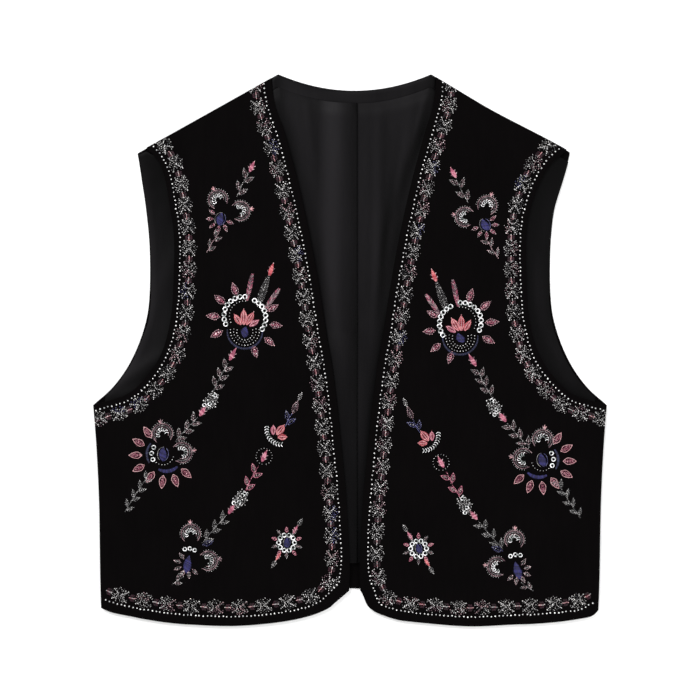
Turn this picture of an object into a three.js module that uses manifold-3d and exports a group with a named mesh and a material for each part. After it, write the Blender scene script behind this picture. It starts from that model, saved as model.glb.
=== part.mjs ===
import * as THREE from 'three';
import * as BufferGeometryUtils from 'three/addons/utils/BufferGeometryUtils.js';
import Module from 'manifold-3d';

// Embroidered velvet waistcoat, open fronted and sleeveless, laid flat on its back.
// Millimetres. X runs across it, Y from hem to neck, Z up from the surface it lies on.
// Heights called "up" are measured from the lowest point of the front hem.

const wasm = await Module();
wasm.setup();
const { lerp, smoothstep } = THREE.MathUtils;

const bodyLength = 516.4;
const openingX = 4.4;          // the front opening lies this far towards +X of the middle of the back
const seamGap = 0.3;
const pileGap = 0.4;          // stitching stands this far off the velvet under it
const seamAllowance = 20;      // the lining stops this far inside the side and shoulder seams

const backThick = 1.6;
const liningThick = 1;
const frontThick = 2.4;
const stitchThick = 0.8;

const neck = { half: 73.8, up: 516.4, drop: 15.4 };
const neckBand = 12;
const shoulderTip = { half: 201, up: 441 };

// Side seam, then armhole, as half widths from the middle of the back.
const bodySections = [
  { side: 232.6, sideUp: 19.6, edge: 5.2, edgeUp: 33.6 },
  { side: 233.5, sideUp: 52, edge: 4.7, edgeUp: 60 },
  { side: 234.5, sideUp: 115, edge: 7.7, edgeUp: 118 },
  { side: 237, sideUp: 168, edge: 12.5, edgeUp: 170 },
  { side: 240, sideUp: 207, edge: 16.8, edgeUp: 211 },
];
// The front's armhole, with its front edge measured from the opening's own middle line.
const frontYokeSections = [
  { side: 240, sideUp: 207, edge: 16.8, edgeUp: 211 },
  { side: 210, sideUp: 216, edge: 21, edgeUp: 243 },
  { side: 193, sideUp: 230, edge: 25.5, edgeUp: 267 },
  { side: 177, sideUp: 253, edge: 30, edgeUp: 297 },
  { side: 168, sideUp: 284, edge: 35.5, edgeUp: 331 },
  { side: 165, sideUp: 319, edge: 42.5, edgeUp: 368 },
  { side: 164.5, sideUp: 365, edge: 53.5, edgeUp: 417 },
  { side: 170.5, sideUp: 398, edge: 62.8, edgeUp: 452 },
  { side: 183, sideUp: 424, edge: 70.3, edgeUp: 483 },
  { side: 201, sideUp: 441, edge: 73.8, edgeUp: 516 },
];
const backYokeSections = [
  { side: 240, sideUp: 207 },
  { side: 221.4, sideUp: 224 },
  { side: 205.5, sideUp: 247 },
  { side: 193.5, sideUp: 276 },
  { side: 188, sideUp: 305 },
  { side: 187.5, sideUp: 351 },
  { side: 191, sideUp: 389 },
  { side: 196.6, sideUp: 418 },
  { side: 201, sideUp: 441 },
];
// The front's hem from the side seam round to the front edge.
const frontHem = [
  { half: 232.6, up: 19.6 },
  { half: 224, up: 10.7 },
  { half: 195, up: 4.5 },
  { half: 150, up: 0.9 },
  { half: 108, up: 0.4 },
  { half: 61, up: 5.1 },
  { half: 28, up: 14 },
  { half: 16.8, up: 21 },
  { half: 5.2, up: 33.6 },
];
const backHem = { sideUp: 22, middleUp: 37.4 };

// Broad soft ridges (+) and troughs (-), each along a line turned from the X axis.
const frontFolds = [
  { half: 217, up: 165, turn: 62, length: 30, width: 13, height: -0.9 },
  { half: 200, up: 120, turn: 80, length: 60, width: 20, height: 0.5 },
  { half: 150, up: 400, turn: 98, length: 60, width: 15, height: 0.8 },
  { half: 120, up: 440, turn: 120, length: 45, width: 16, height: -0.7 },
  { half: 70, up: 150, turn: 95, length: 80, width: 20, height: 0.9 },
];
const liningFolds = [
  { x: -24, up: 330, turn: 91, length: 140, width: 10, height: 0.9 },
  { x: 28, up: 330, turn: 88, length: 140, width: 9, height: 0.8 },
  { x: -176, up: 380, turn: 112, length: 45, width: 8, height: 0.9 },
  { x: -178, up: 275, turn: 65, length: 40, width: 8, height: 0.8 },
  { x: 180, up: 345, turn: 92, length: 60, width: 8, height: 0.9 },
];

const velvet = { color: 0x0c0b0c, roughness: 0.9, metalness: 0 };
const satin = { color: 0x1e1d1f, roughness: 0.45, metalness: 0 };
const stitch = { color: 0x8a8288, roughness: 0.4, metalness: 0.2 };

const at = (x, up, z = 0) => new THREE.Vector3(x, up - bodyLength / 2, z);
const spread = (from, to, count) => Array.from({ length: count + 1 }, (_, i) => lerp(from, to, i / count));

function foldLift(folds, x, up) {
  let lift = 0;
  for (const fold of folds) {
    const turn = THREE.MathUtils.degToRad(fold.turn);
    const dx = x - fold.x;
    const dy = up - fold.up;
    const along = dx * Math.cos(turn) + dy * Math.sin(turn);
    const across = dy * Math.cos(turn) - dx * Math.sin(turn);
    lift += fold.height * Math.exp(-((along / fold.length) ** 2) - (across / fold.width) ** 2);
  }
  return lift;
}

// A closed wall between two grids of points, with a rim along all four sides.
function closedWall(top, bottom) {
  const rows = top.length;
  const columns = top[0].length;
  const positions = [...top.flat(), ...bottom.flat()].flatMap((point) => point.toArray());
  const topAt = (i, j) => i * columns + j;
  const bottomAt = (i, j) => (rows + i) * columns + j;
  const index = [];
  const quad = (a, b, c, d) => index.push(a, b, c, a, c, d);
  for (let i = 0; i < rows - 1; i++) {
    for (let j = 0; j < columns - 1; j++) {
      quad(topAt(i, j), topAt(i, j + 1), topAt(i + 1, j + 1), topAt(i + 1, j));
      quad(bottomAt(i, j), bottomAt(i + 1, j), bottomAt(i + 1, j + 1), bottomAt(i, j + 1));
    }
  }
  for (let j = 0; j < columns - 1; j++) {
    quad(topAt(0, j), bottomAt(0, j), bottomAt(0, j + 1), topAt(0, j + 1));
    quad(topAt(rows - 1, j + 1), bottomAt(rows - 1, j + 1), bottomAt(rows - 1, j), topAt(rows - 1, j));
  }
  const end = columns - 1;
  for (let i = 0; i < rows - 1; i++) {
    quad(topAt(i + 1, 0), bottomAt(i + 1, 0), bottomAt(i, 0), topAt(i, 0));
    quad(topAt(i, end), bottomAt(i, end), bottomAt(i + 1, end), topAt(i + 1, end));
  }
  const geometry = new THREE.BufferGeometry();
  geometry.setAttribute('position', new THREE.Float32BufferAttribute(positions, 3));
  geometry.setIndex(signedVolume(positions, index) < 0 ? index.reverse() : index);
  return geometry;
}

function signedVolume(positions, index) {
  const corner = (k) => new THREE.Vector3().fromArray(positions, index[k] * 3);
  let volume = 0;
  for (let k = 0; k < index.length; k += 3) {
    volume += corner(k).dot(corner(k + 1).cross(corner(k + 2))) / 6;
  }
  return volume;
}

function piece(name, geometry, finish) {
  const mesh = new THREE.Mesh(geometry, new THREE.MeshStandardMaterial(finish));
  mesh.name = name;
  return mesh;
}

const curveThrough = (points) => new THREE.CatmullRomCurve3(points, false, 'catmullrom', 0.5);

// ---- back, facing and lining ----

const bodyShare = 0.4;         // share of the grid's length that lies below the underarm
const backSideBody = curveThrough(bodySections.map((row) => at(row.side, row.sideUp)));
const backSideYoke = curveThrough(backYokeSections.map((row) => at(row.side, row.sideUp)));

const backSide = (v) => (v < bodyShare
  ? backSideBody.getPoint(v / bodyShare)
  : backSideYoke.getPoint((v - bodyShare) / (1 - bodyShare)));

// How far the shoulders and the neck stand above the shoulder tips, across the top edge.
function topRise(x) {
  const fromOpening = x - openingX;
  if (Math.abs(fromOpening) < neck.half) {
    return neck.up - shoulderTip.up - neck.drop * (1 - (fromOpening / neck.half) ** 2);
  }
  const run = fromOpening < 0 ? shoulderTip.half + openingX : shoulderTip.half - openingX;
  return (neck.up - shoulderTip.up) * (run - Math.abs(fromOpening)) / (run - neck.half);
}

// The back at a place across it (-1 to 1) and along it (0 at the hem, 1 at the neck), cut short by `cut`.
function backPoint(across, v, cut = { side: 0, top: 0 }) {
  const side = backSide(v);
  const x = across * (side.x - cut.side);
  const yoke = Math.max(0, (v - bodyShare) / (1 - bodyShare));
  const atTop = across * shoulderTip.half;
  const arch = (backHem.middleUp - backHem.sideUp) * (1 - across ** 2) * (1 - smoothstep(v, 0, bodyShare));
  return new THREE.Vector3(x, side.y + arch + (topRise(atTop) - cut.top) * yoke, 0);
}

const neckLeft = (openingX - neck.half) / shoulderTip.half;
const neckRight = (openingX + neck.half) / shoulderTip.half;
const backColumns = [
  ...spread(-1, neckLeft, 2),
  ...spread(neckLeft, neckRight, 6).slice(1),
  ...spread(neckRight, 1, 2).slice(1),
];
const backRows = [...spread(0, bodyShare, 3), ...spread(bodyShare, 1, 12).slice(1)];

function makeBack() {
  const level = (z) => backRows.map((v) => backColumns.map((across) => backPoint(across, v).setZ(z)));
  return piece('back', closedWall(level(backThick), level(0)), velvet);
}

function makeNeckFacing() {
  const tuck = 0.01;
  const columns = spread(neckLeft + tuck, neckRight - tuck, 12);
  const below = [neckBand, 1];
  const level = (z) => below.map((drop) => columns.map((across) => {
    const point = backPoint(across, 1);
    return point.setY(point.y - drop).setZ(z);
  }));
  const bottom = backThick + seamGap;
  return piece('neck_facing', closedWall(level(bottom + liningThick), level(bottom)), satin);
}

// The ease pleat down the middle of the lining: three layers, folded towards +X, in its own cross section.
const pleat = { x: 6.5, depth: 11, climb: 15, layerGap: 0.4 };

function pleatSection() {
  const step = liningThick + pleat.layerGap;
  const innerX = pleat.x - pleat.depth;
  // A half turn of the cloth from the upper layer to the one under it, bulging towards `way`.
  const turn = (x, z, way) => spread(Math.PI / 2, -Math.PI / 2, 3).map((angle) => (
    { x: x + way * Math.cos(angle) * (step / 2), z: z + Math.sin(angle) * (step / 2) }));
  const outer = turn(pleat.x - step / 2, step * 1.5, 1);
  const inner = turn(innerX, step / 2, -1);
  return [
    { x: innerX - pleat.climb, z: 0 },
    { x: innerX - pleat.climb / 2, z: step },
    { x: innerX - step, z: step * 2 },
    ...outer,
    ...inner,
    { x: pleat.x + pleat.climb / 2, z: 0 },
  ];
}

function makeBackLining() {
  const middle = backThick + seamGap + liningThick / 2;
  const section = pleatSection();
  const lowest = 0.085;
  const rows = [...spread(lowest, bodyShare, 3), ...spread(bodyShare, 1, 12).slice(1)];
  const armholeCut = 1.6;
  const grid = rows.map((v) => {
    const cut = {
      side: lerp(seamAllowance, armholeCut, smoothstep(v, bodyShare - 0.05, bodyShare + 0.12)),
      top: neckBand + seamGap * 2,
    };
    const half = backSide(v).x - cut.side;
    const left = [
      ...spread(-half, neckLeft * half, 3),
      ...spread(neckLeft * half, section[0].x, 4).slice(1, -1),
    ];
    const right = [
      ...spread(section.at(-1).x, neckRight * half, 4).slice(1),
      ...spread(neckRight * half, half, 3).slice(1),
    ];
    const flat = (x) => ({ x, z: 0 });
    const slack = (x) => foldLift(liningFolds, x, backPoint(x / half, v, cut).y + bodyLength / 2)
      * smoothstep(half - Math.abs(x), 0, 8);
    return [...left.map(flat), ...section, ...right.map(flat)].map(({ x, z }) => {
      const point = backPoint(x / half, v, cut);
      return point.setZ(middle + z + (z === 0 ? slack(x) : 0));
    });
  });
  return piece('back_lining', closedWall(...faces(grid, liningThick)), satin);
}

// The two faces of a wall, half its thickness either way from a grid of middle points.
function faces(grid, thickness) {
  const shifted = (way) => grid.map((row, i) => row.map((point, j) => {
    const after = row[Math.min(j + 1, row.length - 1)];
    const alongRow = new THREE.Vector3().subVectors(after, row[Math.max(j - 1, 0)]);
    const next = grid[Math.min(i + 1, grid.length - 1)][j];
    const last = grid[Math.max(i - 1, 0)][j];
    const normal = alongRow.cross(new THREE.Vector3().subVectors(next, last)).normalize();
    return point.clone().addScaledVector(normal, (way * thickness) / 2);
  }));
  return [shifted(1), shifted(-1)];
}

// ---- fronts ----

const frontSideBody = curveThrough(bodySections.map((row) => at(row.side, row.sideUp)));
const frontSideYoke = curveThrough(frontYokeSections.map((row) => at(row.side, row.sideUp)));
const frontEdgeBody = curveThrough(bodySections.map((row) => at(row.edge, row.edgeUp)));
const frontEdgeYoke = curveThrough(frontYokeSections.map((row) => at(row.edge, row.edgeUp)));
const hemCurve = curveThrough(frontHem.map((row) => at(row.half, row.up)));

// Flat place on the front that lies towards +X (hand 1) or -X (hand -1): u from side to front edge, v up.
function frontPoint(hand, u, v) {
  const inBody = v < bodyShare;
  const t = inBody ? v / bodyShare : (v - bodyShare) / (1 - bodyShare);
  const side = (inBody ? frontSideBody : frontSideYoke).getPoint(t);
  const edge = (inBody ? frontEdgeBody : frontEdgeYoke).getPoint(t);
  const edgeX = edge.x + hand * openingX;
  const point = new THREE.Vector3(lerp(side.x, edgeX, u), lerp(side.y, edge.y, u), 0);
  const hemPull = (1 - smoothstep(v, 0, bodyShare * 0.7)) ** 2;
  const hem = hemCurve.getPointAt(u);
  const chord = bodySections[0];
  point.x += (hem.x + hand * openingX * u - lerp(chord.side, chord.edge + hand * openingX, u)) * hemPull;
  point.y += (hem.y + bodyLength / 2 - lerp(chord.sideUp, chord.edgeUp, u)) * hemPull;
  return point.setX(point.x * hand);
}

const seat = backThick + seamGap;
// How the front rides: up from its seams, a little more along its free edge, and down again at its hem.
const frontLevel = { rise: 2.4, ease: 14, edgeRise: 1.9, edgeReach: 60, hemHeight: 3.4, hemReach: 32 };
const edgeStart = 60;          // the free edge lifts fully this far from a seam
const foldStart = [5, 40];     // folds fade in between these distances from a seam

// Height of the front's underside: seated on the back along its seams, and riding over the lining elsewhere.
function frontHeight(hand, u, v) {
  const point = frontPoint(hand, u, v);
  const half = Math.abs(point.x);
  const up = point.y + bodyLength / 2;
  const flat = new THREE.Vector3(half, point.y, 0);
  const hemCorner = bodySections[0];
  const underarm = bodySections.at(-1);
  const seams = [
    new THREE.Line3(at(hemCorner.side, hemCorner.sideUp), at(underarm.side, underarm.sideUp)),
    new THREE.Line3(at(shoulderTip.half, shoulderTip.up), at(neck.half + hand * openingX, neck.up)),
  ];
  const toSeam = Math.min(...seams.map((seam) => (
    seam.closestPointToPoint(flat, true, new THREE.Vector3()).distanceTo(flat))));
  const toEdge = point.distanceTo(frontPoint(hand, 1, v));
  const toHem = point.distanceTo(frontPoint(hand, u, 0));
  const folds = frontFolds.map((fold) => ({ ...fold, x: fold.half }));
  let above = frontLevel.rise * (1 - Math.exp(-toSeam / frontLevel.ease));
  const nearEdge = Math.exp(-((toEdge / frontLevel.edgeReach) ** 2));
  above += frontLevel.edgeRise * nearEdge * smoothstep(toSeam, 0, edgeStart);
  above += foldLift(folds, half, up) * smoothstep(toSeam, ...foldStart);
  const hem = smoothstep(toHem, 0, frontLevel.hemReach);
  return seat + lerp(Math.min(above, frontLevel.hemHeight - seat), above, hem);
}

const frontColumns = [0, 0.045, 0.1, ...spread(0.17, 1, 9)];
const frontRows = [0, 0.025, 0.06, ...spread(0.1, bodyShare, 6), ...spread(bodyShare, 1, 18).slice(1)];

function makeFront(name, hand) {
  const level = (rise) => frontRows.map((v) => frontColumns.map((u) => (
    frontPoint(hand, u, v).setZ(frontHeight(hand, u, v) + rise))));
  return piece(name, closedWall(level(frontThick), level(0)), velvet);
}

// ---- embroidery, worked on the fronts ----

// Lays a flat stitched form on a front, just above its pile.
function layOn(front, geometry) {
  const position = geometry.attributes.position;
  const ray = new THREE.Raycaster();
  const down = new THREE.Vector3(0, 0, -1);
  for (let k = 0; k < position.count; k++) {
    ray.set(new THREE.Vector3(position.getX(k), position.getY(k), 100), down);
    position.setZ(k, position.getZ(k) + ray.intersectObject(front)[0].point.z + pileGap);
  }
  return geometry;
}

function fuse(shapes) {
  const solids = shapes.map((shape) => {
    const slab = new THREE.ExtrudeGeometry(shape, { depth: stitchThick, bevelEnabled: false });
    slab.deleteAttribute('normal');
    slab.deleteAttribute('uv');
    const merged = BufferGeometryUtils.mergeVertices(slab, 1e-4);
    return new wasm.Manifold(new wasm.Mesh({
      numProp: 3,
      vertProperties: merged.attributes.position.array,
      triVerts: new Uint32Array(merged.index.array),
    }));
  });
  const { vertProperties, triVerts } = wasm.Manifold.union(solids).getMesh();
  const geometry = new THREE.BufferGeometry();
  geometry.setAttribute('position', new THREE.BufferAttribute(vertProperties, 3));
  geometry.setIndex(new THREE.BufferAttribute(triVerts, 1));
  return geometry;
}

const polygon = (points) => new THREE.Shape(points.map((point) => new THREE.Vector2(point.x, point.y)));

function rosette(centre, radius, petals) {
  const around = spread(0, Math.PI * 2, petals * 2).slice(0, -1);
  return polygon(around.map((angle, k) => {
    const reach = radius * (k % 2 ? 0.8 : 1);
    return { x: centre.x + Math.cos(angle) * reach, y: centre.y + Math.sin(angle) * reach };
  }));
}

function leaf(centre, turn, length, width) {
  const outline = [[-0.5, 0], [-0.25, -0.42], [0.1, -0.5], [0.5, 0], [0.1, 0.5], [-0.25, 0.42]];
  const cos = Math.cos(turn);
  const sin = Math.sin(turn);
  return polygon(outline.map(([along, across]) => ({
    x: centre.x + along * length * cos - across * width * sin,
    y: centre.y + along * length * sin + across * width * cos,
  })));
}

function stem(from, to, width) {
  const run = new THREE.Vector3().subVectors(to, from).normalize();
  const side = new THREE.Vector3(-run.y, run.x, 0).multiplyScalar(width / 2);
  const corner = (end, way) => end.clone().addScaledVector(side, way);
  return polygon([corner(from, -1), corner(to, -1), corner(to, 1), corner(from, 1)]);
}

// A border along one edge of a front: a beaded line outside, and a scallop inside round each flower.
const border = {
  inset: 7,        // from the cloth's edge to the beaded line, and at the hem
  hemInset: 9,
  halfLine: 1.2,
  centre: 9,       // from the line to the flowers' middles
  flower: 7.8,     // reach of a flower, and of a bud, past that
  bud: 4,
  pitch: 21.5,
  crown: 0.22,     // half width of a scallop's crown, in pitches
};
const crownThick = 1.1;

function borderBand(path, insetAt, hand) {
  const length = path.getLength();
  const inward = (s, distance, z) => {
    const run = path.getTangentAt(s);
    const side = new THREE.Vector3(-run.y, run.x, 0).multiplyScalar(distance * hand);
    return path.getPointAt(s).add(side).setZ(z);
  };
  const count = Math.floor(length / border.pitch);
  const stations = [];
  for (let k = 0; k < count; k++) {
    stations.push({ s: k / count, crown: false });
    stations.push({ s: (k + 0.5 - border.crown) / count, crown: true });
    stations.push({ s: (k + 0.5 + border.crown) / count, crown: true });
  }
  stations.push({ s: 1, crown: false });
  const level = (lift) => stations.map(({ s, crown }) => {
    const thick = crown ? crownThick : stitchThick;
    const inner = border.centre + (crown ? border.flower : border.bud);
    return [-border.halfLine, border.centre, inner].map((across, row) => (
      inward(s, insetAt(s) + across, lift * (row === 1 ? thick : stitchThick))));
  });
  return closedWall(level(1), level(0));
}

const pathAlong = (hand, stops) => curveThrough(stops.map(([u, v]) => frontPoint(hand, u, v)));

function edgeBorder(name, hand, front) {
  const down = spread(0.955, 0.02, 26).map((v) => [1, v]);
  const along = spread(0.97, 0.03, 18).map((u) => [u, 0]);
  const path = pathAlong(hand, [...down, ...along]);
  const cornerAt = 0.66;
  const insetAt = (s) => lerp(border.inset, border.hemInset, smoothstep(s, cornerAt - 0.06, cornerAt + 0.04));
  return piece(name, layOn(front, borderBand(path, insetAt, hand)), stitch);
}

function armholeBorder(name, hand, front) {
  const path = pathAlong(hand, spread(bodyShare + 0.015, 0.97, 22).map((v) => [0, v]));
  return piece(name, layOn(front, borderBand(path, () => border.inset - 1, hand)), stitch);
}

// The sprays, from the opening's middle line out and from the hem up; kinds are flower, scroll, leaf and bud.
const sprays = {
  upper_spray: [
    { kind: 'leaf', out: 103.5, up: 416.5, turn: 63, long: 27, wide: 12 },
    { kind: 'scroll', out: 107, up: 388, long: 18 },
    { kind: 'flower', out: 125.5, up: 380.5, long: 22 },
    { kind: 'scroll', out: 127.5, up: 398.5, long: 18 },
    { kind: 'leaf', out: 130.5, up: 361.5, turn: 54, long: 20, wide: 6 },
  ],
  main_spray: [
    { kind: 'leaf', out: 86.5, up: 314, turn: 65, long: 46, wide: 8 },
    { kind: 'flower', out: 102.5, up: 284, long: 30 },
    { kind: 'leaf', out: 112.5, up: 303, turn: 60, long: 48, wide: 14 },
    { kind: 'leaf', out: 79.5, up: 296, turn: 68, long: 46, wide: 16 },
    { kind: 'leaf', out: 103, up: 264, turn: -28, long: 34, wide: 10 },
    { kind: 'bud', out: 114.5, up: 254, turn: 60, long: 11, wide: 8 },
    { kind: 'leaf', out: 123, up: 238, turn: 60, long: 14, wide: 11 },
    { kind: 'leaf', out: 128, up: 225, turn: 60, long: 12, wide: 11 },
    { kind: 'flower', out: 135, up: 210, long: 21 },
    { kind: 'leaf', out: 150, up: 193, turn: 50, long: 20, wide: 11 },
    { kind: 'scroll', out: 163, up: 163.5, long: 19 },
    { kind: 'scroll', out: 179, up: 179, long: 19 },
    { kind: 'flower', out: 180, up: 161, long: 21 },
    { kind: 'leaf', out: 199, up: 166, turn: 72, long: 36, wide: 10 },
    { kind: 'leaf', out: 178, up: 144, turn: 4, long: 44, wide: 12 },
    { kind: 'leaf', out: 206.5, up: 119, turn: 58, long: 34, wide: 7 },
  ],
  lower_spray: [
    { kind: 'leaf', out: 53, up: 209, turn: 70, long: 20, wide: 8 },
    { kind: 'leaf', out: 62, up: 193.5, turn: 62, long: 14, wide: 12 },
    { kind: 'flower', out: 71, up: 181, long: 25 },
    { kind: 'bud', out: 84.5, up: 159, turn: 60, long: 13, wide: 10 },
    { kind: 'leaf', out: 90, up: 146.5, turn: 60, long: 13, wide: 13 },
    { kind: 'leaf', out: 98.5, up: 136, turn: 60, long: 13, wide: 11 },
    { kind: 'flower', out: 106.5, up: 120.5, long: 21 },
    { kind: 'leaf', out: 125, up: 102, turn: 42, long: 26, wide: 7 },
    { kind: 'scroll', out: 136.5, up: 61.5, long: 19 },
    { kind: 'scroll', out: 153, up: 87, long: 19 },
    { kind: 'flower', out: 156, up: 60, long: 20 },
    { kind: 'leaf', out: 166.5, up: 46, turn: 50, long: 20, wide: 7 },
  ],
  medallion: [
    { kind: 'leaf', out: 49.5, up: 97, turn: 55, long: 16, wide: 7 },
    { kind: 'flower', out: 62, up: 75.5, long: 25 },
    { kind: 'leaf', out: 76, up: 55, turn: 55, long: 16, wide: 7 },
  ],
};
const stemWidth = 1.8;

function sprayShapes(rows, hand) {
  const centres = rows.map((row) => at(openingX + hand * row.out, row.up));
  const shapes = rows.map((row, k) => {
    const turn = THREE.MathUtils.degToRad(hand < 0 ? row.turn : 180 - row.turn);
    if (row.kind === 'flower') return rosette(centres[k], row.long / 2, 5);
    if (row.kind === 'scroll') return rosette(centres[k], row.long / 2, 4);
    return leaf(centres[k], turn, row.long, row.wide);
  });
  const stems = centres.slice(1).map((centre, k) => stem(centres[k], centre, stemWidth));
  return [...shapes, ...stems];
}

const waistcoat = new THREE.Group();
waistcoat.add(makeBack(), makeNeckFacing(), makeBackLining());
for (const [side, hand] of [['right', -1], ['left', 1]]) {
  const front = makeFront(`front_${side}`, hand);
  waistcoat.add(front);
  waistcoat.add(edgeBorder(`edge_border_${side}`, hand, front));
  waistcoat.add(armholeBorder(`armhole_border_${side}`, hand, front));
  for (const [name, rows] of Object.entries(sprays)) {
    waistcoat.add(piece(`${name}_${side}`, layOn(front, fuse(sprayShapes(rows, hand))), stitch));
  }
}

export default waistcoat;
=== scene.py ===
import math
import random

import bmesh
import bpy
from mathutils import Matrix, Vector
from mathutils.bvhtree import BVHTree
from mathutils.kdtree import KDTree


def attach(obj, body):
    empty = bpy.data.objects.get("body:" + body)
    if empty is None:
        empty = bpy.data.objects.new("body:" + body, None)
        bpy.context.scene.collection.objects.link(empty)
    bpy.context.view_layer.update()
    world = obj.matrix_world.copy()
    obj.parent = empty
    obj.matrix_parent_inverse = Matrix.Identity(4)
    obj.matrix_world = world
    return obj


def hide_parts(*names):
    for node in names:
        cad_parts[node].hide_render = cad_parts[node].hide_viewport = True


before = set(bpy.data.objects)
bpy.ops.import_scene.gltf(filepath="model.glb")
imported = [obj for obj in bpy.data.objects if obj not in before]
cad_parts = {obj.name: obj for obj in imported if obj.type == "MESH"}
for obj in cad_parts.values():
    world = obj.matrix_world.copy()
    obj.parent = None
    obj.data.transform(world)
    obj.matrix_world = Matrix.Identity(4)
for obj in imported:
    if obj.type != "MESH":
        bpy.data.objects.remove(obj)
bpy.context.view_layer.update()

mm = 0.001


# ---- curves and small sums ----

def lerp(a, b, t):
    return a + (b - a) * t


def smooth(value, low, high):
    t = min(1, max(0, (value - low) / (high - low)))
    return t * t * (3 - 2 * t)


class Line:
    # a smooth line through a few points in the plan, in millimetres
    def __init__(self, points):
        self.points = [Vector((p[0], p[1])) for p in points]
        self.stops = [self.at(k / 160) for k in range(161)]
        self.far = [0.0]
        for a, b in zip(self.stops, self.stops[1:]):
            self.far.append(self.far[-1] + (b - a).length)
        self.length = self.far[-1]

    def at(self, t):
        last = len(self.points) - 1
        spot = min(max(t, 0), 1) * last
        k = min(int(spot), last - 1)
        w = spot - k
        p1, p2 = self.points[k], self.points[k + 1]
        p0 = self.points[k - 1] if k > 0 else p1 * 2 - p2
        p3 = self.points[k + 2] if k + 2 <= last else p2 * 2 - p1
        t0, t1 = (p2 - p0) / 2, (p3 - p1) / 2
        return (p1 + t0 * w + (p2 * 3 - p1 * 3 - t0 * 2 - t1) * w * w
                + (p1 * 2 - p2 * 2 + t0 + t1) * w ** 3)

    def along(self, share):
        goal = min(max(share, 0), 1) * self.length
        low, high = 0, len(self.far) - 1
        while high - low > 1:
            middle = (low + high) // 2
            if self.far[middle] <= goal:
                low = middle
            else:
                high = middle
        span = self.far[high] - self.far[low] or 1
        return self.stops[low].lerp(self.stops[high], (goal - self.far[low]) / span)

    def heading(self, share):
        run = self.along(share + 0.004) - self.along(share - 0.004)
        return run.normalized()


# ---- the cut, in millimetres; "up" is measured from the lowest point of the front hem ----

cut = {
    "length": 516.4,
    "openingX": 4.4,
    "shoulder": (201, 441),
    "neckHalf": 71.6,
    "neckUp": 516.4,
    "neckDrop": 15.4,
    "neckBand": 12,
    "backThick": 1.6,
    "liningMiddle": 2.4,
    "frontThick": 2.4,
    "bodyShare": 0.4,          # share of a panel's own length below the underarm
    "backHemSide": 22,
    "backHemMiddle": 37.4,
    # how the shoulders' ends lie off the pattern, to the right and up
    "tipShift": {1: (5, 2.2), -1: (2, 1.2)},
}
body = [  # side, sideUp, edge, edgeUp
    (232.6, 19.6, 5.2, 33.6),
    (233.5, 52, 4.7, 60),
    (234.5, 115, 7.7, 118),
    (237, 168, 12.5, 170),
    (240, 207, 16.8, 211),
]
frontYoke = [
    (240, 207, 16.8, 211),
    (210, 216, 21, 243),
    (193, 230, 25.5, 267),
    (177, 253, 30, 297),
    (168, 284, 35.5, 331),
    (165, 319, 42.5, 368),
    (164.5, 365, 53.5, 417),
    (170.5, 398, 62.8, 452),
    (183, 424, 70.3, 483),
    (201, 441, 71.6, 516),
]
backYoke = [(240, 207), (221.4, 224), (205.5, 247), (193.5, 276), (188, 305), (187.5, 351), (191, 389),
            (196.6, 418), (201, 441)]
# the hem of each front, from its side seam to its front edge
frontHem = {
    -1: [(232.6, 16.9), (222.5, 12.9), (205, 9.2), (191, 6.4), (172, 3.5), (150, 1.6), (108, 0.4), (61, 5.1),
         (28, 14), (16.8, 21), (5.2, 33.6)],
    1: [(232.2, 15.0), (226, 9.6), (214, 7.0), (195, 4.3), (172, 2.4), (150, 1.6), (108, 0), (61, 3.6),
        (40, 6.3), (28, 11.6), (16.8, 20.4), (5.2, 33.6)],
}

sideLine = Line([row[:2] for row in body])
edgeLine = Line([row[2:] for row in body])
yokeSideLine = Line([row[:2] for row in frontYoke])
yokeEdgeLine = Line([row[2:] for row in frontYoke])
backYokeLine = Line(backYoke)
hemLines = {hand: Line(frontHem[hand]) for hand in (-1, 1)}


def toFrame(x, up, z=0):
    shift = Vector(cut["tipShift"][1 if x > 0 else -1]) * smooth(abs(x), 120, 200) * smooth(up, 380, 441)
    return Vector(((x + shift.x) * mm, (up + shift.y - cut["length"] / 2) * mm, z * mm))


def foldLift(folds, x, up):
    lift = 0
    for foldX, foldUp, turn, length, width, height in folds:
        turn = math.radians(turn)
        dx, dy = x - foldX, up - foldUp
        along = (dx * math.cos(turn) + dy * math.sin(turn)) / length
        across = (dy * math.cos(turn) - dx * math.sin(turn)) / width
        if abs(along) < 3 and abs(across) < 3:
            lift += height * math.exp(-along ** 2 - across ** 2)
    return lift


# ---- shader helpers ----

class Field:
    # a socket that takes part in sums
    def __init__(self, tree, socket):
        self.tree = tree
        self.socket = socket

    def sum(self, operation, *values):
        node = self.tree.nodes.new("ShaderNodeMath")
        node.operation = operation
        for slot, value in zip(node.inputs, values):
            if isinstance(value, Field):
                self.tree.links.new(value.socket, slot)
            else:
                slot.default_value = value
        return Field(self.tree, node.outputs[0])

    def __add__(self, other):
        return self.sum("ADD", self, other)

    def __radd__(self, other):
        return self.sum("ADD", other, self)

    def __sub__(self, other):
        return self.sum("SUBTRACT", self, other)

    def __rsub__(self, other):
        return self.sum("SUBTRACT", other, self)

    def __mul__(self, other):
        return self.sum("MULTIPLY", self, other)

    def __rmul__(self, other):
        return self.sum("MULTIPLY", other, self)


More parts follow.
